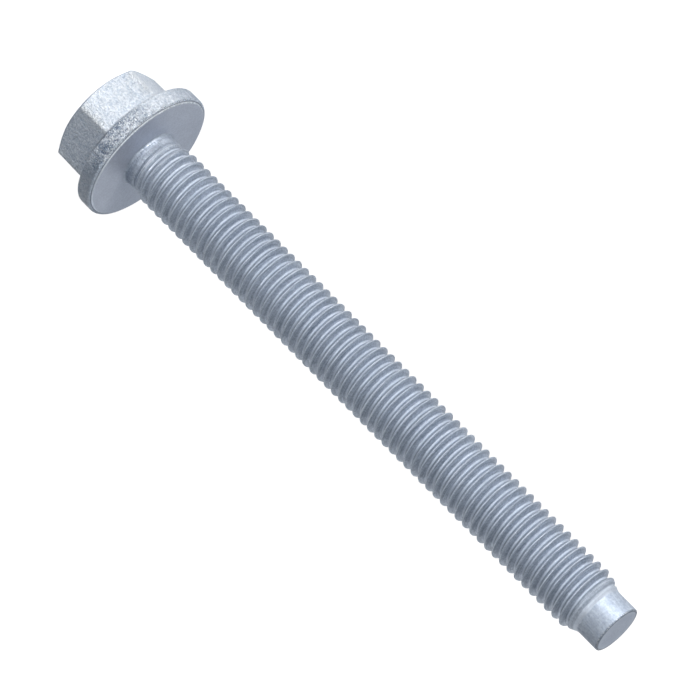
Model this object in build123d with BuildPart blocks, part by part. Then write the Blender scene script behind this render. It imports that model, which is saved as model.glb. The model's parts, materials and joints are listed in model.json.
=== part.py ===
from build123d import *
import math
import os

# Hex flange bolt M10 x 1.5, cold forged from one piece of steel wire, with a rolled thread and a dog point.
# It stands on the free face of its head. The origin is the centre of that face and +Z runs to the point.
# Lengths are in millimetres and angles in degrees.

# Hexagon, measured at the free face, from where it widens by the draft of the forging die
across_flats = 15.75
hex_draft = 0.75
hex_corner_radius = 0.45
chamfer_circle = 15.4
chamfer_angle = 30

# Head, from its free face to the bearing face under the flange
head_height = 9.9
flange_diameter = 22.0
flange_rim = 2.63
flange_slope = 20
rim_head_radius = 0.3
rim_bearing_radius = 0.33
hex_root_radius = 0.5

# Bearing face, raised by a small bevelled step inside a ledge that runs round the rim
ledge_width = 0.42
bearing_step = 0.2
bearing_bevel = 0.18
neck_fillet = 0.4

# Shank, from the bearing face to the end of the point
shank_length = 97.3
neck_diameter = 8.9
neck_length = 1.4
thread_diameter = 9.9
thread_pitch = 1.5
runout_turns = 2
lead_angle = 24

# Dog point, which finds the nut before the thread does
point_diameter = 7.7
point_length = 3.7
point_edge = 0.18

# Radii, slopes and heights that follow from the sizes above
flange_r = flange_diameter / 2
bearing_r = flange_r - ledge_width - bearing_bevel
neck_r = neck_diameter / 2
thread_r = thread_diameter / 2
point_r = point_diameter / 2
flange_gradient = math.tan(math.radians(flange_slope))
chamfer_gradient = math.tan(math.radians(chamfer_angle))
bearing_z = head_height
ledge_z = bearing_z - bearing_step
rim_z = bearing_z - flange_rim
cone_apex_z = rim_z - flange_r * flange_gradient
runout_z = bearing_z + neck_length
thread_z = runout_z + runout_turns * thread_pitch
end_z = bearing_z + shank_length
dog_z = end_z - point_length
lead_z = dog_z - (thread_r - point_r) / math.tan(math.radians(lead_angle))

# The fillets of the rim leave some of its wall and of the ledge round the bearing face
rim_bearing_fillet = min(rim_bearing_radius, 0.9 * ledge_width)
rim_head_fillet = min(rim_head_radius, 0.9 * (ledge_z - rim_z - rim_bearing_fillet))


def circles_of(radius):
    """The part's circular edges of one radius, from the head to the point."""
    same = lambda edge: abs(edge.radius - radius) < 0.001
    return edges().filter_by(GeomType.CIRCLE).filter_by(same).sort_by(Axis.Z)


with BuildPart() as hex_flange_bolt:
    # Hexagon, with the rounded corners and the draft that the forging die leaves
    with BuildSketch():
        RegularPolygon(radius=across_flats / 2, side_count=6, major_radius=False)
        fillet(vertices(), radius=hex_corner_radius)
    extrude(amount=rim_z, taper=-hex_draft)

    # The chamfer of the free face is a cone, which cuts each corner of the hexagon back to an arc
    with BuildSketch(Plane.XZ):
        with BuildLine():
            Polyline(
                (0, 0),
                (chamfer_circle / 2, 0),
                (flange_r, (flange_r - chamfer_circle / 2) * chamfer_gradient),
                (flange_r, bearing_z),
                (0, bearing_z),
                close=True,
            )
        make_face()
    revolve(axis=Axis.Z, mode=Mode.INTERSECT)

    # Flange: a shallow cone out from the hexagon, a straight rim, a ledge and the raised bearing face
    with BuildSketch(Plane.XZ):
        with BuildLine():
            Polyline(
                (0, cone_apex_z),
                (flange_r, rim_z),
                (flange_r, ledge_z),
                (bearing_r + bearing_bevel, ledge_z),
                (bearing_r, bearing_z),
                (0, bearing_z),
                close=True,
            )
        make_face()
    revolve(axis=Axis.Z)

    # The hexagon runs into the cone of the flange with a fillet, and both edges of the rim are rounded
    flat_root_z = rim_z - (flange_r - across_flats / 2) * flange_gradient
    hex_root = edges().filter_by_position(Axis.Z, flat_root_z - hex_corner_radius, rim_z - 0.001)
    fillet(hex_root.filter_by(GeomType.LINE, reverse=True), radius=hex_root_radius)
    fillet(circles_of(flange_r)[0], radius=rim_head_fillet)
    fillet(circles_of(flange_r)[-1], radius=rim_bearing_fillet)

    # Shank: neck of the blank's own diameter, run-out, thread over its crests, lead cone and dog point
    with BuildSketch(Plane.XZ):
        with BuildLine():
            Polyline(
                (0, bearing_z),
                (neck_r, bearing_z),
                (neck_r, runout_z),
                (thread_r, thread_z),
                (thread_r, lead_z),
                (point_r, dog_z),
                (point_r, end_z),
                (0, end_z),
                close=True,
            )
        make_face()
    revolve(axis=Axis.Z)
    fillet(circles_of(neck_r)[0], radius=neck_fillet)
    fillet(circles_of(point_r)[-1], radius=point_edge)

hex_flange_bolt.part.label = "hex_flange_bolt"
os.makedirs("parts", exist_ok=True)
export_step(hex_flange_bolt.part, "parts/hex_flange_bolt.step")
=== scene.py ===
import json
import math

import bpy
import numpy as np
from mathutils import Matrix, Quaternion, Vector


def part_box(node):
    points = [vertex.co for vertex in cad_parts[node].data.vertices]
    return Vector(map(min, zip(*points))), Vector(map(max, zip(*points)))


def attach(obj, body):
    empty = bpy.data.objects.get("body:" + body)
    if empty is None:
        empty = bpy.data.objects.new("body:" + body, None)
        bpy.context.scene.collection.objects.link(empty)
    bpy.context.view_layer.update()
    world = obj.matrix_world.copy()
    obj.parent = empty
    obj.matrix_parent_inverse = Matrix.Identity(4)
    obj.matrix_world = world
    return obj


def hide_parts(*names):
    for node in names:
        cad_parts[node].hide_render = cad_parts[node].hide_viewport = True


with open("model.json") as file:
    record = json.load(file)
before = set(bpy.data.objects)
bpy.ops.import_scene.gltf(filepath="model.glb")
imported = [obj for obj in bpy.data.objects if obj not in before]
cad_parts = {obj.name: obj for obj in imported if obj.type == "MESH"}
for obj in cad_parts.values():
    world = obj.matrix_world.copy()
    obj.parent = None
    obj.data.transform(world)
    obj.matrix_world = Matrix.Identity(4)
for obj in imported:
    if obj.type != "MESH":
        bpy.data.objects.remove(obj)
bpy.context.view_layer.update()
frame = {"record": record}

# The hexagon head is steel, cold forged from the end of the wire in a closed die.
# Its sides have a little draft, its corners are round, and a cone chamfers them at the free face.
# The whole bolt is one skin, so every ring of points from here to the point has the same columns.
mm = 0.001
high_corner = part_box("hex_flange_bolt")[1]
mount = {entry["name"]: entry for entry in frame["record"]["mounts"]}
across_flats = 15.75 * mm
hex_draft = math.radians(0.75)
hex_corner_radius = 0.45 * mm
chamfer_circle = 15.4 * mm
chamfer_angle = math.radians(30)
sixth_turn = math.pi / 3
half_side = sixth_turn / 2
columns = 90
columns_a_side = columns // 6
# Columns beside a corner, as shares of the angle at which its circle meets the flat
corner_stops = np.array([0, 0.5, 1, 1.5])


def corner_circle(apothem):
    """The round corner of a hexagon with that apothem.
    Its centre's distance from the axis is the apothem less the radius, over the cosine of 30 degrees.
    With it comes the angle from the corner's direction to where the circle meets the flat."""
    centre = (apothem - hex_corner_radius) / math.cos(half_side)
    tangent = np.arctan2(hex_corner_radius / 2, centre + hex_corner_radius * math.cos(half_side))
    return centre, tangent


def from_nearest_corner(angle):
    """Angle from the nearest corner of the hexagon, negative before it and positive past it."""
    return (angle + half_side) % sixth_turn - half_side


def hexagon_radius(angle, height):
    """Distance from the axis to the hexagon's side.
    On a flat it is the apothem over the cosine of the angle from the flat's middle, and near a corner
    it is the far point of the corner's circle along that direction. The draft adds to the apothem."""
    apothem = across_flats / 2 + height * math.tan(hex_draft)
    centre, tangent = corner_circle(apothem)
    from_corner = from_nearest_corner(angle)
    across = centre * np.sin(from_corner)
    rounded = centre * np.cos(from_corner) + np.sqrt(np.maximum(hex_corner_radius**2 - across**2, 0))
    straight = apothem / np.cos(half_side - np.abs(from_corner))
    return np.where(np.abs(from_corner) < tangent, rounded, straight)


def side_angles():
    """Angles of the columns round the hexagon: some close together round each corner, and the rest
    evenly spaced over the flat between them."""
    near_corner = corner_stops * corner_circle(across_flats / 2)[1]
    flat_columns = columns_a_side - 2 * len(corner_stops) + 1
    flat = np.linspace(near_corner[-1], sixth_turn - near_corner[-1], flat_columns + 2)[1:-1]
    one_side = np.concatenate([near_corner, flat, sixth_turn - near_corner[:0:-1]])
    return (np.arange(6)[:, None] * sixth_turn + one_side[None, :]).ravel()


even_angle = np.arange(columns) * 2 * math.pi / columns
hex_angle = side_angles()

# The flange is forged with the head: a shallow cone out from the hexagon, then a straight rim.
# Under it a ledge runs round the bearing face, which the die strikes a little proud of it.
# The neck below is the bare blank, and a small fillet joins it to the bearing face.
bearing_z = mount["bearing_face"]["pos_m"][2]
flange_r = high_corner.x
flange_rim = 2.63 * mm
flange_slope = math.radians(20)
ledge_width = 0.42 * mm
bearing_step = 0.2 * mm
bearing_bevel = 0.18 * mm
neck_r = 4.45 * mm
neck_end_z = bearing_z + 1.5 * mm
rim_z = bearing_z - flange_rim
ledge_z = bearing_z - bearing_step
bearing_r = flange_r - ledge_width - bearing_bevel
bevel_r = bearing_r + bearing_bevel
cone_apex_z = rim_z - flange_r * math.tan(flange_slope)


def rounded_profile(corners, radii, arc_points, run_shares):
    """Points down a profile, with each inner corner rounded.
    corners is (corner, column, radius and height). An arc starts and ends at the tangent of half the
    turn times its radius from its corner, and its points are the rational quadratic curve whose middle
    weight is the cosine of half the turn, which is a true circle. run_shares place rows on the
    straight runs between the arcs."""
    runs = np.diff(corners, axis=0)
    heading = runs / np.linalg.norm(runs, axis=-1, keepdims=True)
    half_turn = np.arccos(np.clip((heading[:-1] * heading[1:]).sum(-1), -1, 1)) / 2
    cut_back = (np.asarray(radii)[:, None] * np.tan(half_turn))[..., None]
    start = corners[1:-1] - heading[:-1] * cut_back
    end = corners[1:-1] + heading[1:] * cut_back
    weight = np.cos(half_turn)[None, ..., None]
    step = np.linspace(0, 1, arc_points)[:, None, None, None]
    shares = (1 - step) ** 2, 2 * step * (1 - step) * weight, step**2
    arcs = (shares[0] * start + shares[1] * corners[1:-1] + shares[2] * end) / sum(shares)
    run_starts = np.concatenate([corners[:1], end])
    run_ends = np.concatenate([start, corners[-1:]])
    rows = []
    for number in range(len(runs)):
        shares_here = np.asarray(run_shares[number])[:, None, None]
        rows.append(run_starts[number] * (1 - shares_here) + run_ends[number] * shares_here)
        if number < len(radii):
            rows.append(arcs[:, number])
    return np.concatenate(rows)


def at(radius, height):
    """One corner of a profile in every column, as radius and height."""
    return np.stack(np.broadcast_arrays(radius, height, hex_angle)[:2], axis=-1)


# Where the chamfer's cone meets the hexagon, and where the hexagon meets the flange's cone. The draft
# makes each depend on its own height, and every pass of the loop comes nearer to it.
chamfer_z = np.zeros(columns)
root_z = np.full(columns, rim_z)
for _ in range(8):
    past_circle = hexagon_radius(hex_angle, chamfer_z) - chamfer_circle / 2
    chamfer_z = past_circle * math.tan(chamfer_angle)
    root_z = cone_apex_z + hexagon_radius(hex_angle, root_z) * math.tan(flange_slope)

head_corners = np.stack([
    at(chamfer_circle / 4, 0.0),
    at(chamfer_circle / 2, 0.0),
    at(hexagon_radius(hex_angle, chamfer_z), chamfer_z),
    at(hexagon_radius(hex_angle, root_z), root_z),
    at(flange_r, rim_z),
    at(flange_r, ledge_z),
    at(bevel_r, ledge_z),
    at(bearing_r, bearing_z),
    at(neck_r, bearing_z),
    at(neck_r, neck_end_z),
])
# The straight runs down the head, with the shares of each at which a row lies, and the arcs between them
head_runs = {
    "free_face": (0, 0.5, 0.96),
    "chamfer": (0.5,),
    "flat": (0.02, 0.25, 0.5, 0.75, 0.97),
    "cone": (0.08, 0.3, 0.5, 0.7, 0.92),
    "rim": (0.06, 0.35, 0.65, 0.94),
    "ledge": (0.5,),
    "bevel": (0.5,),
    "bearing_face": (0.01, 0.25, 0.5, 0.75, 0.97),
    "neck": (0.1, 0.5),
}
head_arcs = {
    "chamfer_edge": 0.2 * mm,
    "hexagon_edge": 0.14 * mm,
    "hexagon_root": 0.5 * mm,
    "rim_head_edge": 0.3 * mm,
    "rim_bearing_edge": 0.33 * mm,
    "ledge_corner": 0.08 * mm,
    "bearing_edge": 0.07 * mm,
    "neck_fillet": 0.4 * mm,
}
head_arc_points = 5
head_rows = rounded_profile(
    head_corners, list(head_arcs.values()), head_arc_points, list(head_runs.values()))
run_rows = {}
next_row = 0
for run_name, run_shares in head_runs.items():
    run_rows[run_name] = slice(next_row, next_row + len(run_shares))
    next_row += len(run_shares) + head_arc_points
# The columns follow the hexagon's corners down to its root, and even out over the flange's cone
past_hexagon = np.arange(len(head_rows)) - run_rows["cone"].start + 1
evenness = np.clip(past_hexagon / len(head_runs["cone"]), 0, 1)[:, None]
head_angle = hex_angle * (1 - evenness) + even_angle * evenness


def arc_marks(marks_of_arc):
    """One number a row: five down each named arc, and nought on every other row."""
    marks = np.zeros(len(head_rows))
    for run, arc in zip(run_rows.values(), head_arcs):
        marks[run.stop:run.stop + head_arc_points] = marks_of_arc.get(arc, 0)
    return marks


# Marks for the finish: edges worn bright with a painted highlight, hollows with painted shade, and the
# rim, which the scale pitted. The painted highlight on the rim's own edges fades toward one side of the
# bolt.
corner_wear_and_highlight_width = 0.42 * mm
highlight_fade_azimuth = math.radians(20)
hollow_hump = np.array([0.25, 0.8, 1, 0.8, 0.25])
from_corner = np.abs(from_nearest_corner(hex_angle))
corner_wear_and_highlight = np.exp(-(from_corner * across_flats / 2 / corner_wear_and_highlight_width) ** 2)
flat_rows = np.zeros(len(head_rows))
flat_rows[run_rows["flat"]] = 1
edge_rows = arc_marks({"rim_bearing_edge": (0, 0.6, 1, 1, 0.5), "bearing_edge": (1, 1, 1, 1, 0.7)})
edge_rows[run_rows["bevel"]] = 0.7
highlight_fade = 0.7 * np.clip((np.cos(head_angle - highlight_fade_azimuth) - 0.3) / 0.5, 0, 1)
head_edge = np.maximum(edge_rows[:, None] * (1 - highlight_fade), flat_rows[:, None] * corner_wear_and_highlight)
# Painted shade on rows of the head: down the chamfer's and hexagon's edges, the hexagon's root, the ledge
# and the neck's fillet
hollow_shade_rows = arc_marks({
    "chamfer_edge": 0.85 * hollow_hump,
    "hexagon_edge": 0.85 * hollow_hump,
    "hexagon_root": hollow_hump,
    "ledge_corner": (0.6, 0.9, 0.9, 0.9, 0.6),
    "neck_fillet": 0.4 * hollow_hump,
})
hollow_shade_rows[run_rows["ledge"]] = 0.45
rim_rows = np.zeros(len(head_rows))
rim_rows[run_rows["cone"].stop - 1:run_rows["ledge"].stop + 1] = 1

# The thread is rolled between dies, which press the groove into the blank and squeeze the crest up.
# The crest comes out narrow and a little uneven, and the root keeps the round nose of the die.
# The first crest by the neck is only part filled, where the dies draw in.
pitch = 1.5 * mm
crest_r = mount["thread"]["dims"]["r_mm"] * mm
root_r = 4.07 * mm
point_r = mount["dog_point"]["dims"]["r_mm"] * mm
crest_half_width = 0.085 * mm
flank_gradient = math.tan(math.radians(60))
shoulder_softness = 0.045 * mm
root_softness = 0.11 * mm
crest_wobble = 0.02 * mm
wobble_seed = 3
wobble_sines = 12
lip_height = 0.085 * mm
lip_place = 0.115 * mm
lip_width = 0.055 * mm
die_clearance = 0.62 * mm
# Heights between which the die goes in, the crest rises from the neck, and the first crest comes and fills
die_in_z = bearing_z - 0.4 * mm, bearing_z + 3.0 * mm
crest_rises_z = bearing_z + 2.4 * mm, bearing_z + 4.4 * mm
crest_comes_z = bearing_z + 1.1 * mm, bearing_z + 1.6 * mm
crest_fills_z = bearing_z + 2.7 * mm, bearing_z + 3.5 * mm
end_z = high_corner.z
point_length = 3.7 * mm
lead_angle = math.radians(24)
dog_z = end_z - point_length
lead_z = dog_z - (crest_r - point_r) / math.tan(lead_angle)
thread_end_z = dog_z + 0.5 * mm
# The helix goes through the crest that the photograph shows at this direction and height
seen_crest_azimuth = math.radians(20.09)
seen_crest_z = bearing_z + 5.648 * mm
crest_z = seen_crest_z - pitch * seen_crest_azimuth / (2 * math.pi)
# Rows across one turn of the thread, by their distance from the crest's middle as a share of the pitch
half_turn_rows = np.array([0.04, 0.065, 0.1, 0.22, 0.33, 0.385, 0.435])
turn_rows = np.sort(np.concatenate([[0, 0.5], half_turn_rows, 1 - half_turn_rows]))


def softer_min(a, b, softness):
    """The smaller of two, with the corner between them rounded off."""
    return (a + b - np.sqrt((a - b) ** 2 + softness**2)) / 2


def softer_max(a, b, softness):
    """The larger of two, with the corner between them filled."""
    return (a + b + np.sqrt((a - b) ** 2 + softness**2)) / 2


def eased(value, start, full):
    """Nought up to one value, one from another on, and a smooth S between them."""
    share = np.clip((value - start) / (full - start), 0, 1)
    return share * share * (3 - 2 * share)


def wobble(turns):
    """A smooth uneven wave along the thread, as a sum of sines of 1.5 to 17 waves a turn, between
    about -1 and 1."""
    draw = np.random.default_rng(wobble_seed)
    waves = draw.uniform(1.5, 17, wobble_sines)
    starts = draw.uniform(0, 2 * math.pi, wobble_sines)
    return np.sin(turns[..., None] * waves * 2 * math.pi + starts).sum(-1) / 4


def part_filled(height):
    """1 where the first crest is only part filled, and nought before and after."""
    return eased(height, *crest_comes_z) * (1 - eased(height, *crest_fills_z))


def crest_distance(phase):
    """Distance along the bolt from the middle of the nearest crest, from the turns since a crest."""
    return np.abs(phase - np.round(phase)) * pitch


def thread_radius(phase, turns, height):
    """Radius of the threaded shank.
    The blank's outline is the neck, then the crest, then the lead cone down to the dog point. The die's
    flank falls at 60 degrees from both sides of the crest down to the root. The shank is the lesser of
    the outline and the flank, and over the run-out the die draws back out of the blank. The first crest
    is only part filled, so it keeps two thin lips with a crease between them."""
    across = crest_distance(phase)
    die_out = (1 - eased(height, *die_in_z)) * die_clearance
    flank = crest_r - (across - crest_half_width) * flank_gradient
    groove = softer_max(flank, root_r, root_softness) + die_out
    lead = crest_r - (height - lead_z) * math.tan(lead_angle)
    raised_share = eased(height, *crest_rises_z)
    raised = neck_r + (crest_r - neck_r) * raised_share + crest_wobble * raised_share * wobble(turns)
    raised = raised + part_filled(height) * lip_height * np.exp(-((across - lip_place) / lip_width) ** 2)
    outline = softer_min(raised, lead, shoulder_softness)
    outline = softer_max(outline, point_r, shoulder_softness)
    return softer_min(outline, groove, shoulder_softness)


first_turn = math.floor((neck_end_z - crest_z) / pitch) - 1
last_turn = math.ceil((thread_end_z - crest_z) / pitch) + 1
thread_turn = (np.arange(first_turn, last_turn)[:, None] + turn_rows[None, :]).ravel()
turn_length = len(turn_rows)
# Each row climbs one pitch in a turn. The rows that leave the thread at either end stop at its ring.
turns_along = thread_turn[:, None] + (np.arange(columns) / columns)[None, :]
climb = crest_z + pitch * turns_along
thread_height = np.clip(climb, neck_end_z, thread_end_z)
phase = (thread_height - crest_z) / pitch - turns_along + thread_turn[:, None]
thread_r = thread_radius(phase, turns_along, thread_height)
first_row = (climb <= neck_end_z).sum(0) - 1
last_row = (climb < thread_end_z).sum(0)

# Marks for the finish: how far the thread has risen from its root, and the painted highlight along its
# crest, which splits over the part-filled crest's two lips and ends where the crest runs down the lead
# cone
crest_line_width = 0.12 * mm
lip_line_width = 0.07 * mm
lit_crest_r = point_r + 0.2 * mm, point_r + 0.6 * mm
thread_rise = (thread_r - root_r) / (crest_r - root_r)
from_crest = crest_distance(phase)
lips = part_filled(thread_height)
whole_line = np.exp(-(from_crest / crest_line_width) ** 4)
lip_line = np.exp(-((from_crest - lip_place) / lip_line_width) ** 2)
crest_highlight = (1 - lips) * whole_line + lips * lip_line
crest_highlight = crest_highlight * eased(thread_height, *crest_comes_z) * eased(thread_r, *lit_crest_r)

# The dog point is the plain end of the blank, which starts the nut straight.
# It was cropped and rolled, so its end is flat with a round edge, and that edge is worn and carries
# painted shade.
point_edge = 0.18 * mm
point_arc_points = 6
point_centre_r = 0.4 * point_r
point_corners = np.stack([
    at(point_r, thread_end_z),
    at(point_r, end_z),
    at(point_centre_r, end_z),
])
point_runs = [(0.35, 0.7, 0.97), (0.03, 0.09, 0.5, 1.0)]
point_rows = rounded_profile(point_corners, [point_edge], point_arc_points, point_runs)
# The edge's wear and painted shade cover the arc and the first row of the end face, and fade on the next
arc_start = len(point_runs[0])
arc_stop = arc_start + point_arc_points
point_edge_wear_and_shade = np.zeros((len(point_rows), 1))
point_edge_wear_and_shade[arc_start:arc_stop + 1] = 1
point_edge_wear_and_shade[arc_stop + 1] = 0.4


# The skin of the bolt is one piece of steel from the free face to the end of the point.
# It joins the rings of the head, the thread and the point into one closed surface.
def ring_points(angle, radius, height):
    """Points on circles about the axis: the radius times the angle's cosine and sine, and the height."""
    return np.stack([radius * np.cos(angle), radius * np.sin(angle), height + 0 * angle], axis=-1)


def over_skin(head, thread, point, poles=(0, 0)):
    """One value for each point of the skin, from arrays or single numbers for its three parts."""
    shapes = head_angle.shape, thread_r.shape, point_rows.shape[:2]
    parts = [np.broadcast_to(part, shape).ravel() for part, shape in zip((head, thread, point), shapes)]
    return np.concatenate([*parts, poles])


head_points = ring_points(head_angle, head_rows[..., 0], head_rows[..., 1]).reshape(-1, 3)
thread_points = ring_points(even_angle[None, :], thread_r, thread_height).reshape(-1, 3)
end_points = ring_points(even_angle[None, :], point_rows[..., 0], point_rows[..., 1]).reshape(-1, 3)
pole_points = np.array([[0, 0, 0], [0, 0, end_z]])
skin_points = np.concatenate([head_points, thread_points, end_points, pole_points])
marks = {
    "edge": over_skin(head_edge, 0, point_edge_wear_and_shade),
    "hollow": over_skin(hollow_shade_rows[:, None], 0, 0),
    "rim": over_skin(rim_rows[:, None], 0, 0),
    "crest": over_skin(0, crest_highlight, 0),
    "rise": over_skin(1, thread_rise, 1, (1, 1)),
}
# The way that the tools ran over the surface, in metres: round the bolt, and up it
way_round = over_skin(head_angle * flange_r, turns_along * 2 * math.pi * crest_r, even_angle * point_r)
thread_up = thread_height - climb + thread_turn[:, None] * pitch
way_up = over_skin(head_rows[..., 1], thread_up, point_rows[..., 1], (0, end_z))

head_index = np.arange(len(head_points)).reshape(-1, columns)
row_index = np.clip(np.arange(len(thread_turn))[:, None], first_row[None, :], last_row[None, :])
thread_index = len(head_points) + row_index * columns + np.arange(columns)
end_index = len(head_points) + len(thread_points) + np.arange(len(end_points)).reshape(-1, columns)
free_pole = np.full((1, columns), len(skin_points) - 2)
end_pole = np.full((1, columns), len(skin_points) - 1)


def cells(a, b, c, d):
    """Two triangles for each four-cornered cell, wound outwards."""
    corners = np.stack([a, b, c, d], axis=-1).reshape(-1, 4)
    return np.concatenate([corners[:, [0, 1, 2]], corners[:, [0, 2, 3]]])


def closed_band(rows_of_points):
    """The cells between neighbouring rows and columns, where the last column joins the first."""
    next_column = np.roll(rows_of_points, -1, axis=1)
    return cells(rows_of_points[:-1], next_column[:-1], next_column[1:], rows_of_points[1:])


# Along the thread, the last column joins the first one a whole turn further on
left = thread_index[:-turn_length]
right = np.concatenate([left[:, 1:], thread_index[turn_length:, :1]], axis=1)
skin_faces = np.concatenate([
    closed_band(np.concatenate([free_pole, head_index, thread_index[:1]])),
    cells(left[:-1], right[:-1], right[1:], left[1:]),
    closed_band(np.concatenate([thread_index[-1:], end_index, end_pole])),
])
# Cells that shrank to a line or a point go, and so do the points that no face uses
distinct = (skin_faces != np.roll(skin_faces, 1, axis=1)).all(axis=1)
used, renumbered = np.unique(skin_faces[distinct], return_inverse=True)
skin_points = skin_points[used]
skin_faces = renumbered.reshape(-1, 3)
way = np.stack([way_round[used], way_up[used], np.zeros(len(used))], axis=-1)

skin_mesh = bpy.data.meshes.new("hex_flange_bolt_skin")
skin_mesh.vertices.add(len(skin_points))
skin_mesh.vertices.foreach_set("co", skin_points.astype(np.float32).ravel())
skin_mesh.loops.add(skin_faces.size)
skin_mesh.loops.foreach_set("vertex_index", skin_faces.astype(np.int32).ravel())
skin_mesh.polygons.add(len(skin_faces))
skin_mesh.polygons.foreach_set("loop_start", np.arange(0, skin_faces.size, 3, dtype=np.int32))
skin_mesh.polygons.foreach_set("use_smooth", np.ones(len(skin_faces), dtype=bool))
skin_mesh.update(calc_edges=True)
skin_mesh.validate()
skin = bpy.data.objects.new("hex_flange_bolt_skin", skin_mesh)
bpy.context.scene.collection.objects.link(skin)
for mark_name, values in marks.items():
    layer = skin_mesh.attributes.new(mark_name, "FLOAT", "POINT")
    layer.data.foreach_set("value", values[used].astype(np.float32))
layer = skin_mesh.attributes.new("way", "FLOAT_VECTOR", "POINT")
layer.data.foreach_set("vector", way.astype(np.float32).ravel())

# The whole bolt is zinc plated, bright and passed clear, over bare steel.
# The plating is thin, so each area keeps the face of its tool: scaly on the die-forged head, even under
# the flange, drawn out along the rolled thread.
zinc_tint = (0.25, 0.28, 0.34, 1)
# Pale zinc of worn edges, and the colour of the painted highlight on edges and crests
worn_zinc_and_highlight = (0.84, 0.91, 1.0, 1)
# Colour of the painted shade in the hollows
painted_hollow_shade = (0.10, 0.13, 0.19, 1)


def node(tree, kind, inputs=None, **settings):
    """Adds one shader node. inputs gives its sockets a value, or the output that feeds them."""
    made = tree.nodes.new(kind)
    for name, value in settings.items():
        setattr(made, name, value)
    for name, value in (inputs or {}).items():
        if isinstance(value, bpy.types.NodeSocket):
            tree.links.new(value, made.inputs[name])
        else:
            made.inputs[name].default_value = value
    return made


def reach(tree, value, low, high, to_low=0.0, to_high=1.0):
    """Maps a value from one span to another, and holds it at the ends."""
    return node(tree, "ShaderNodeMapRange", {
        "Value": value, "From Min": low, "From Max": high, "To Min": to_low, "To Max": to_high}).outputs[0]


def times(tree, a, b):
    """The product of two values."""
    return node(tree, "ShaderNodeMath", {0: a, 1: b}, operation="MULTIPLY").outputs[0]


def plus(tree, a, b):
    """The sum of two values."""
    return node(tree, "ShaderNodeMath", {0: a, 1: b}, operation="ADD").outputs[0]


def blend(tree, share, a, b):
    """A colour between two."""
    return node(tree, "ShaderNodeMix", {0: share, 6: a, 7: b}, data_type="RGBA").outputs[2]


def noise(tree, vector, scale, detail, roughness=0.55):
    """A noise from 0 to 1 over a vector, with that many waves to its unit."""
    return node(tree, "ShaderNodeTexNoise", {
        "Vector": vector, "Scale": scale, "Detail": detail, "Roughness": roughness}).outputs[0]


def mark(tree, name):
    """One of the skin's own marks."""
    return node(tree, "ShaderNodeAttribute", attribute_name=name).outputs["Fac"]


def group(name, inputs, outputs):
    """An empty node group. Its inputs and outputs are given as each socket's name and kind."""
    made = bpy.data.node_groups.new(name, "ShaderNodeTree")
    for side, sockets in (("INPUT", inputs), ("OUTPUT", outputs)):
        for socket_name, kind in sockets.items():
            made.interface.new_socket(socket_name, in_out=side, socket_type=kind)
    return made


def plain_values(*names):
    """Sockets that carry a plain value each."""
    return dict.fromkeys(names, "NodeSocketFloat")


# Grain of the plating, the same on every area: slow clouds, fine grain, small pits, bright specks, and
# the crossed scratches of a tumbled part
grain = group("plating_grain", {}, plain_values("Cloud", "Grain", "Pit", "Speck", "Scour"))
place = node(grain, "ShaderNodeTexCoord").outputs["Object"]
one_way = node(grain, "ShaderNodeMapping", {
    "Vector": place, "Rotation": (0.5, 0.7, 0.3), "Scale": (6500.0, 900.0, 900.0)}).outputs[0]
other_way = node(grain, "ShaderNodeMapping", {
    "Vector": place, "Rotation": (-0.6, -0.5, 0.9), "Scale": (900.0, 6500.0, 900.0)}).outputs[0]
scoured = plus(grain, noise(grain, one_way, 1.0, detail=2.0), noise(grain, other_way, 1.0, detail=2.0))
node(grain, "NodeGroupOutput", {
    "Cloud": noise(grain, place, 420.0, detail=2.0),
    "Grain": reach(grain, noise(grain, place, 3600.0, detail=2.0, roughness=0.6), 0.36, 0.64),
    "Pit": reach(grain, noise(grain, place, 2300.0, detail=3.0, roughness=0.7), 0.55, 0.40),
    "Speck": reach(grain, noise(grain, place, 4800.0, detail=2.0, roughness=0.5), 0.54, 0.63),
    "Scour": reach(grain, scoured, 0.8, 1.2),
})

# Marks of the tools along the surface's own way: lines round the bolt, nicks across them, and the breaks
# in a crest's light
drawn = group("tool_lines", {}, plain_values("Lines", "Nicks", "Breaks"))
own_way = node(drawn, "ShaderNodeAttribute", attribute_name="way").outputs["Vector"]


def drawn_noise(waves_round, waves_up, detail):
    """A noise over the skin's own way, with its own number of waves a metre round the bolt and up it."""
    stretched = node(drawn, "ShaderNodeMapping", {
        "Vector": own_way, "Scale": (waves_round, waves_up, 1.0)}).outputs[0]
    return noise(drawn, stretched, 1.0, detail)


node(drawn, "NodeGroupOutput", {
    "Lines": reach(drawn, drawn_noise(300.0, 3400.0, detail=1.0), 0.38, 0.62),
    "Nicks": reach(drawn, drawn_noise(5200.0, 1300.0, detail=1.0), 0.42, 0.58),
    "Breaks": reach(drawn, drawn_noise(2600.0, 700.0, detail=2.0), 0.46, 0.54),
})

# Painted shade in the hollows, where light hardly gets in: the colour darkens toward a shade colour there
shading = group(
    "hollow_painted_shade",
    {"Colour": "NodeSocketColor", **plain_values("Depth")},
    {"Colour": "NodeSocketColor"})
given = node(shading, "NodeGroupInput").outputs
in_hollow = times(shading, mark(shading, "hollow"), given["Depth"])
node(shading, "NodeGroupOutput", {"Colour": blend(shading, in_hollow, given["Colour"], painted_hollow_shade)})

# Polish on edges that rub: more metallic and smoother than the plain surface, less so in the grain
polish = group(
    "edge_polish",
    plain_values("Edge", "Grain", "Metallic", "Roughness", "Polished Roughness"),
    plain_values("Metallic", "Roughness"))
given = node(polish, "NodeGroupInput").outputs
rubbed = times(polish, given["Edge"], reach(polish, given["Grain"], 0.0, 1.0, 1.0, 0.5))
node(polish, "NodeGroupOutput", {
    "Metallic": reach(polish, rubbed, 0.0, 1.0, given["Metallic"], 1.0),
    "Roughness": reach(polish, rubbed, 0.0, 1.0, given["Roughness"], given["Polished Roughness"]),
})


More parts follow.
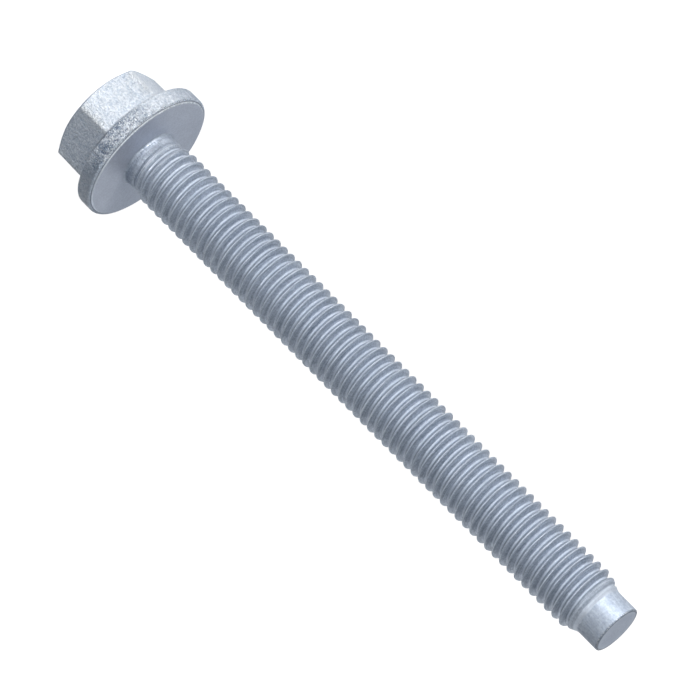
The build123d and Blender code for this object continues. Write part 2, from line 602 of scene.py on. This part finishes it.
def plating(name, metallic, roughness):
    """A zinc material with its shader's plain values and the plating's grain."""
    made = bpy.data.materials.new(name)
    made.use_nodes = True
    tree = made.node_tree
    shader = tree.nodes["Principled BSDF"]
    shader.inputs["Metallic"].default_value = metallic
    shader.inputs["Roughness"].default_value = roughness
    shader.inputs["Specular Tint"].default_value = zinc_tint
    return made, tree, shader, node(tree, "ShaderNodeGroup", node_tree=grain).outputs


def tool_lines(tree):
    """The tools' lines in a material."""
    return node(tree, "ShaderNodeGroup", node_tree=drawn).outputs


def with_painted_shade(tree, colour, depth):
    """A colour with painted shade in the hollows."""
    return node(tree, "ShaderNodeGroup", {"Colour": colour, "Depth": depth}, node_tree=shading).outputs[0]


def polish_edges(tree, shader, grains, edge, polished_roughness):
    """Polishes a shader's edges, over the plain values that its sockets hold."""
    polished = node(tree, "ShaderNodeGroup", {
        "Edge": edge,
        "Grain": grains["Grain"],
        "Metallic": shader.inputs["Metallic"].default_value,
        "Roughness": shader.inputs["Roughness"].default_value,
        "Polished Roughness": polished_roughness,
    }, node_tree=polish).outputs
    tree.links.new(polished["Metallic"], shader.inputs["Metallic"])
    tree.links.new(polished["Roughness"], shader.inputs["Roughness"])


def finish(tree, shader, colour, relief, depth, strength):
    """Gives a shader its colour and a fine relief."""
    bumps = node(tree, "ShaderNodeBump", {"Height": relief, "Distance": depth, "Strength": strength})
    tree.links.new(colour, shader.inputs["Base Color"])
    tree.links.new(bumps.outputs[0], shader.inputs["Normal"])


def toward(tree, azimuth):
    """How far a point lies from the axis in a compass direction: its x and y times the cosine and sine."""
    place = node(tree, "ShaderNodeTexCoord").outputs["Object"]
    direction = (math.cos(math.radians(azimuth)), math.sin(math.radians(azimuth)), 0.0)
    return node(
        tree, "ShaderNodeVectorMath", {0: place, 1: direction}, operation="DOT_PRODUCT").outputs["Value"]


# Head and flange as the forging die left them. Scale from the forge has pitted the rim; the pits and
# bright specks are thickest on one side, where they also paint shade and glints. Painted shade darkens the
# rim on one side and on its far side. The edges are worn bright and carry a painted highlight.
forged_shade = (0.41, 0.50, 0.63, 1)
forged_light = (0.81, 0.87, 0.96, 1)
rim_painted_shade = (0.24, 0.31, 0.42, 1)
pit_shade = (0.13, 0.17, 0.26, 1)
speck_glint = (0.86, 0.92, 1.0, 1)
pits_and_shade_azimuth = -66
rim_shade_azimuth = -55
far_rim_shade_azimuth = -152
forged, tree, shader, grains = plating("zinc_forged", metallic=0.2, roughness=0.5)
scaly = plus(tree, times(tree, grains["Grain"], 0.6), times(tree, grains["Scour"], 0.4))
base = blend(tree, scaly, forged_shade, forged_light)
on_rim = reach(tree, mark(tree, "rim"), 0.0, 1.0, 0.1, 0.85)
# Painted shade: the rim is darker, in patches, toward one direction and on its far side
rim_shade_share = plus(
    tree,
    reach(tree, toward(tree, far_rim_shade_azimuth), 9.2 * mm, 10.6 * mm, 0.0, 0.6),
    reach(tree, toward(tree, rim_shade_azimuth), 8.3 * mm, 10.4 * mm))
rim_shade_share = times(tree, times(tree, on_rim, rim_shade_share), reach(tree, grains["Cloud"], 0.66, 0.46))
base = blend(tree, rim_shade_share, base, rim_painted_shade)
# Real pits and bright specks, thickest toward one side, where they also paint shade and glints
pitted_and_shaded = times(tree, on_rim, reach(tree, toward(tree, pits_and_shade_azimuth), 9.0 * mm, 10.6 * mm, 0.28, 1.0))
base = blend(tree, times(tree, grains["Pit"], pitted_and_shaded), base, pit_shade)
base = blend(tree, times(tree, grains["Speck"], pitted_and_shaded), base, speck_glint)
# Edges worn bright, with a painted highlight flecked over them
worn_and_lit_edge = mark(tree, "edge")
flecked = times(tree, worn_and_lit_edge, reach(tree, grains["Speck"], 0.0, 1.0, 0.5, 1.0))
base = with_painted_shade(tree, blend(tree, flecked, base, worn_zinc_and_highlight), 0.8)
relief = plus(tree, scaly, times(tree, grains["Pit"], -0.8))
relief = plus(tree, relief, times(tree, times(tree, worn_and_lit_edge, grains["Pit"]), -1.6))
polish_edges(tree, shader, grains, times(tree, worn_and_lit_edge, mark(tree, "rim")), polished_roughness=0.22)
finish(tree, shader, base, relief, depth=0.09 * mm, strength=0.9)

# Bearing face and end face, struck flat by the die and the cropping tool. The end face is painted paler,
# as painted light.
struck_shade = (0.50, 0.54, 0.63, 1)
struck_light = (0.66, 0.71, 0.81, 1)
# The end face's grain colours, painted paler as painted light
lit_end_dark = (0.62, 0.67, 0.78, 1)
lit_end_light = (0.84, 0.90, 1.0, 1)
# Colour of the painted highlight along the bearing face's edges
struck_edge_highlight = (0.90, 0.95, 1.0, 1)
struck, tree, shader, grains = plating("zinc_struck", metallic=0.6, roughness=0.45)
even = plus(tree, times(tree, grains["Cloud"], 0.5), times(tree, grains["Grain"], 0.5))
place = node(tree, "ShaderNodeTexCoord").outputs["Object"]
height = node(tree, "ShaderNodeSeparateXYZ", {"Vector": place}).outputs["Z"]
base = blend(
    tree,
    reach(tree, height, 50 * mm, 100 * mm),
    blend(tree, even, struck_shade, struck_light),
    blend(tree, even, lit_end_dark, lit_end_light))
# The edge mark paints a highlight on the bearing face's edges
base = with_painted_shade(tree, blend(tree, mark(tree, "edge"), base, struck_edge_highlight), 0.75)
polish_edges(tree, shader, grains, mark(tree, "edge"), polished_roughness=0.2)
relief = plus(tree, grains["Grain"], tool_lines(tree)["Nicks"])
finish(tree, shader, base, relief, depth=0.03 * mm, strength=0.5)

# Rolled thread and neck, drawn out along the helix by the dies. The root is burnished by the die's nose
# and painted bright as a painted highlight, and a broken painted highlight runs along the crest.
rolled_tint = (0.85, 0.85, 0.85, 1)
rolled_shade = (0.205, 0.255, 0.335, 1)
rolled_light = (0.71, 0.78, 0.89, 1)
rolled_pit = (0.22, 0.27, 0.36, 1)
root_highlight = (0.82, 0.89, 1.0, 1)
crest_gap = (0.32, 0.38, 0.49, 1)
rolled, tree, shader, grains = plating("zinc_rolled", metallic=0.5, roughness=0.45)
shader.inputs["Specular Tint"].default_value = rolled_tint
lines = tool_lines(tree)
streaky = plus(tree, times(tree, lines["Lines"], 0.3), times(tree, lines["Nicks"], 0.4))
streaky = plus(tree, streaky, times(tree, grains["Grain"], 0.3))
base = blend(tree, streaky, rolled_shade, rolled_light)
base = blend(tree, times(tree, grains["Pit"], 0.3), base, rolled_pit)
# Painted highlight along the root, over the die's burnish
base = blend(tree, times(tree, reach(tree, mark(tree, "rise"), 0.12, 0.03), 0.55), base, root_highlight)
# Painted highlight along the crest, broken by darker gaps
crest_highlight_colour = blend(tree, lines["Breaks"], crest_gap, worn_zinc_and_highlight)
base = with_painted_shade(tree, blend(tree, times(tree, mark(tree, "crest"), 0.9), base, crest_highlight_colour), 0.6)
relief = plus(tree, plus(tree, lines["Lines"], lines["Nicks"]), grains["Grain"])
finish(tree, shader, base, relief, depth=0.03 * mm, strength=0.5)

# Plain dog point, which no die has touched. It is scratched both ways from the plating barrel, and its
# edge has painted shade and is chipped bright.
plain_shade = (0.47, 0.55, 0.69, 1)
plain_light = (0.74, 0.82, 0.93, 1)
plain_pit = (0.28, 0.34, 0.44, 1)
painted_point_edge_shade = (0.16, 0.20, 0.28, 1)
chip_light = (0.9, 0.93, 0.97, 1)
plain, tree, shader, grains = plating("zinc_plain_end", metallic=0.3, roughness=0.45)
scratched = plus(tree, times(tree, grains["Scour"], 0.55), times(tree, grains["Grain"], 0.45))
base = blend(tree, scratched, plain_shade, plain_light)
base = blend(tree, times(tree, grains["Pit"], 0.25), base, plain_pit)
# Painted shade darkens the round edge of the point
base = blend(tree, times(tree, mark(tree, "edge"), 0.6), base, painted_point_edge_shade)
base = blend(tree, times(tree, mark(tree, "edge"), grains["Speck"]), base, chip_light)
finish(tree, shader, base, plus(tree, grains["Scour"], grains["Grain"]), depth=0.015 * mm, strength=0.5)

# Each face takes its finish from its height and its distance from the axis
finishes = [forged, struck, rolled, plain]
hair = 0.01 * mm
rolled_from_r = neck_r + 0.6 * head_arcs["neck_fillet"]
end_face_r = point_r - point_edge - 0.3 * mm
for zinc in finishes:
    skin_mesh.materials.append(zinc)
face_corners = skin_points[skin_faces]
face_z = face_corners[..., 2].mean(axis=1)
face_r = np.hypot(face_corners[..., 0], face_corners[..., 1]).mean(axis=1)
finish_number = np.zeros(len(skin_faces), dtype=np.int32)
finish_number[(face_z > ledge_z - 2 * hair) & (face_r < bevel_r)] = finishes.index(struck)
finish_number[(face_z > bearing_z - hair) & (face_r < rolled_from_r)] = finishes.index(rolled)
finish_number[face_z > neck_end_z] = finishes.index(rolled)
finish_number[face_z > dog_z] = finishes.index(plain)
finish_number[(face_z > end_z - hair) & (face_r < end_face_r)] = finishes.index(struck)
skin_mesh.polygons.foreach_set("material_index", finish_number)
skin_mesh.update()

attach(skin, "root")
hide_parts("hex_flange_bolt")

# The floor is a plain white sheet, a hair below the free face that the bolt stands on.
# It keeps the bolt's shadow. The camera, and the metal's reflections, see it glow almost white by itself.
floor_size = 4.0
floor_colour = (0.8, 0.8, 0.8, 1)
floor_seen_glow = 0.92
floor_reflected_glow = 0.6
floor_mesh = bpy.data.meshes.new("floor")
floor_mesh.from_pydata([
    (-floor_size, -floor_size, -hair),
    (floor_size, -floor_size, -hair),
    (floor_size, floor_size, -hair),
    (-floor_size, floor_size, -hair),
], [], [(0, 1, 2, 3)])
floor = bpy.data.objects.new("floor", floor_mesh)
bpy.context.scene.collection.objects.link(floor)
pale = bpy.data.materials.new("pale_floor")
pale.use_nodes = True
tree = pale.node_tree
tree.nodes.clear()


def rays(tree):
    """1 for the camera's rays, and 1 for reflected or refracted ones."""
    path = node(tree, "ShaderNodeLightPath").outputs
    bounced = node(tree, "ShaderNodeMath", {
        0: path["Is Glossy Ray"], 1: path["Is Transmission Ray"]}, operation="MAXIMUM").outputs[0]
    return path["Is Camera Ray"], bounced


seen, bounced = rays(tree)
glow = plus(tree, times(tree, seen, floor_seen_glow), times(tree, bounced, floor_reflected_glow))
matt = node(tree, "ShaderNodeBsdfDiffuse", {"Color": floor_colour}).outputs[0]
light = node(tree, "ShaderNodeEmission", {"Strength": glow}).outputs[0]
both = node(tree, "ShaderNodeAddShader", {0: matt, 1: light}).outputs[0]
node(tree, "ShaderNodeOutputMaterial", {"Surface": both})
floor_mesh.materials.append(pale)

# The world is a white studio: white for the camera, and in reflections pale at the horizon and dimmer
# overhead, which gives the metal its shades.
studio_white = (0.93, 0.97, 1.0)
horizon_glow = 0.85
overhead_glow = 0.5
world = bpy.data.worlds.new("studio")
bpy.context.scene.world = world
world.use_nodes = True
tree = world.node_tree
tree.nodes.clear()
sky = node(tree, "ShaderNodeTexCoord").outputs["Generated"]
up = node(tree, "ShaderNodeSeparateXYZ", {"Vector": sky}).outputs["Z"]
seen, bounced = rays(tree)
strength = plus(tree, seen, times(tree, bounced, reach(tree, up, 0.0, 0.6, horizon_glow, overhead_glow)))
studio = node(tree, "ShaderNodeBackground", {"Color": (*studio_white, 1), "Strength": strength})
node(tree, "ShaderNodeOutputWorld", {"Surface": studio.outputs[0]})

# The lamps are softboxes round the middle of the bolt: the key lamp to the left of the camera, two weak
# ones behind, one to the right and one above.
bolt_middle = (0, 0, 50 * mm)


def facing(aim, azimuth, elevation, distance, roll=0.0):
    """The place and the turn of what faces an aim.
    It stands at a distance from the aim, by compass angle and angle above the horizon, and a roll turns
    it about its own line of sight."""
    a = math.radians(azimuth)
    e = math.radians(elevation)
    away = Vector((math.cos(a) * math.cos(e), math.sin(a) * math.cos(e), math.sin(e)))
    turn = away.to_track_quat("Z", "Y") @ Quaternion((0, 0, 1), math.radians(roll))
    return Vector(aim) + away * distance, turn


def placed(name, data, place, turn):
    """An object for a lamp or the camera, at its place and turn."""
    made = bpy.data.objects.new(name, data)
    bpy.context.scene.collection.objects.link(made)
    made.location = place
    made.rotation_mode = "QUATERNION"
    made.rotation_quaternion = turn
    return made


def softbox(name, azimuth, elevation, distance, width, height, power, colour=(1, 1, 1)):
    """A softbox that faces the bolt, in metres and watts."""
    lamp = bpy.data.lights.new(name, "AREA")
    lamp.shape = "RECTANGLE"
    lamp.size = width
    lamp.size_y = height
    lamp.energy = power
    lamp.color = colour
    placed(name, lamp, *facing(bolt_middle, azimuth, elevation, distance)).visible_camera = False


softbox("key", -112, 10, distance=0.55, width=0.35, height=0.2, power=2.45)
softbox("back", 115, 13, distance=0.6, width=0.5, height=0.22, power=0.29)
softbox("back_right", 75, 13, distance=0.6, width=0.35, height=0.22, power=0.35)
softbox("front_right", -20, 40, distance=0.6, width=0.3, height=0.22, power=0.13, colour=studio_white)
softbox("top", -60, 80, distance=0.7, width=0.4, height=0.4, power=0.27)
# A small snooted lamp, a little warm, only reaches the head's lower flat and the rim beside it
snoot_aim = (4.3 * mm, -10.4 * mm, 0.5 * mm)
snoot = bpy.data.lights.new("head_lamp", "SPOT")
snoot.energy = 6.3
snoot.color = (1.0, 0.88, 0.72)
snoot.spot_size = math.radians(4.5)
snoot.spot_blend = 1.0
snoot.shadow_soft_size = 8 * mm
placed("head_lamp", snoot, *facing(snoot_aim, -120, 11, distance=0.5)).visible_camera = False

# The camera stands where the photograph was taken from, and is rolled so that the bolt points to the
# lower right of the picture. It aims near the middle of the bolt.
camera_aim = (-1.066 * mm, -0.39 * mm, 51.84 * mm)
camera_data = bpy.data.cameras.new("camera")
camera_data.lens = 248.62
camera_data.sensor_width = 36
camera_data.clip_end = 20
camera_data.shift_x = -0.0010
camera_data.shift_y = 0.0010
camera = placed(
    "camera", camera_data, *facing(camera_aim, -69.899, 18.908, distance=0.673587, roll=135.18))
bpy.context.scene.camera = camera

bpy.context.scene.view_settings.view_transform = "Standard"
